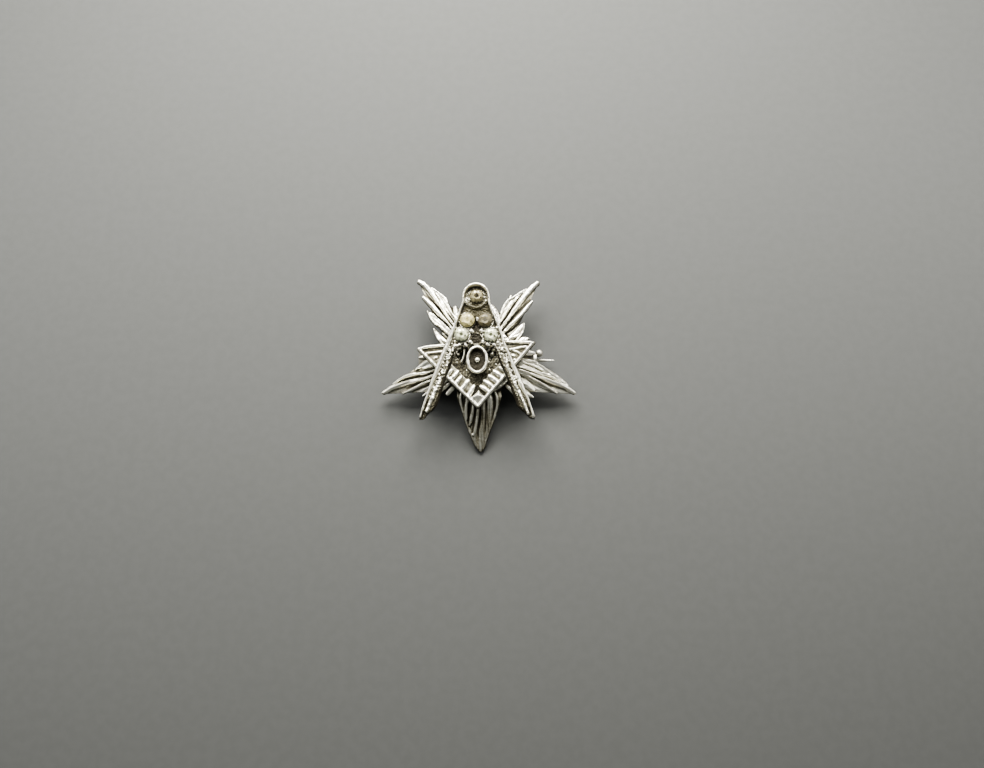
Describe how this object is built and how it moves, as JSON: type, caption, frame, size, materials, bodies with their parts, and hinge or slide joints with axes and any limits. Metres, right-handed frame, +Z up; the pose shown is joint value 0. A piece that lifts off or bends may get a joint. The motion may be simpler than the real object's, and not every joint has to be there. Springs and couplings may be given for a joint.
{
  "type": "fraternal lapel pin",
  "caption": "Silver-tone lapel pin: a ridged star under a builder's square and stone-set compasses, a plain oval ring in the middle, and a hinged pin stem with a turning catch behind.",
  "frame": {"origin": "middle of the outline, on the table that the pin lies on", "axes": "+X towards the pin stem's point, +Y towards the head of the compasses, +Z up from the table and out of the star's face"},
  "size_m": [0.0264, 0.024, 0.0072],
  "materials": {
    "silver_cast": "worn bright plating over a cast, dark in the grooves",
    "silver_relief": "worn bright plating, dark in the recesses",
    "pin_steel": "satin, plated",
    "stone_clear": "cut glass over worn foil",
    "stone_yellowed": "cut glass, yellowed and clouded"
  },
  "bodies": {
    "front": {"star": "silver_cast", "builders_square": "silver_relief", "compasses": "silver_relief", "centre_ring": "silver_relief", "stone_1": "stone_yellowed", "stone_2": "stone_yellowed", "stone_3": "stone_yellowed", "stone_4": "stone_clear", "stone_5": "stone_clear", "pin_back": "pin_steel", "hinge_rivet": "pin_steel"},
    "stem": {"pin_stem": "pin_steel"},
    "catch": {"catch_lever": "pin_steel"}
  },
  "joints": [
    {"name": "stem_hinge", "type": "hinge", "parent": "front", "child": "stem", "pos_m": [-0.00695, 0.00098, 0.0011], "axis": [0, 0.9969, 0.0785], "range_deg": [0, 70]},
    {"name": "catch_turn", "type": "hinge", "parent": "front", "child": "catch", "pos_m": [0.0069, 0.00098, 0.0011], "axis": [-1, 0, 0], "range_deg": [0, 110]}
  ]
}
